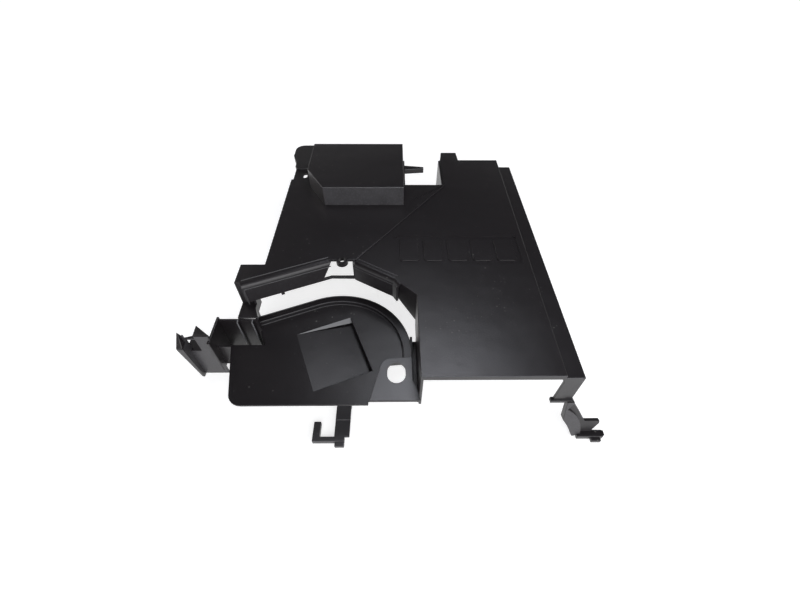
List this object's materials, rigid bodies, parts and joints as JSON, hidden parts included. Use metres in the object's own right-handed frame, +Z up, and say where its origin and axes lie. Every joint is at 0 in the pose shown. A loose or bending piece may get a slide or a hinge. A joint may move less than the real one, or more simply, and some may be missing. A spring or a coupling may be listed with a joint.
{
  "type": "server air baffle shroud",
  "caption": "Moulded shroud with a duct cover, a stepped deck with a raised box, a curved cable slot over a lower tray, and locating brackets on three sides.",
  "frame": {"origin": "centre of the bounding box in plan, on the surface the shroud stands on", "axes": "+X across the shroud towards the duct side, +Y towards its rear edge, +Z up"},
  "size_m": [0.2964, 0.2874, 0.084],
  "materials": {
    "moulding": "satin"
  },
  "bodies": {
    "root": {"baffle_shell": "moulding"}
  },
  "joints": []
}
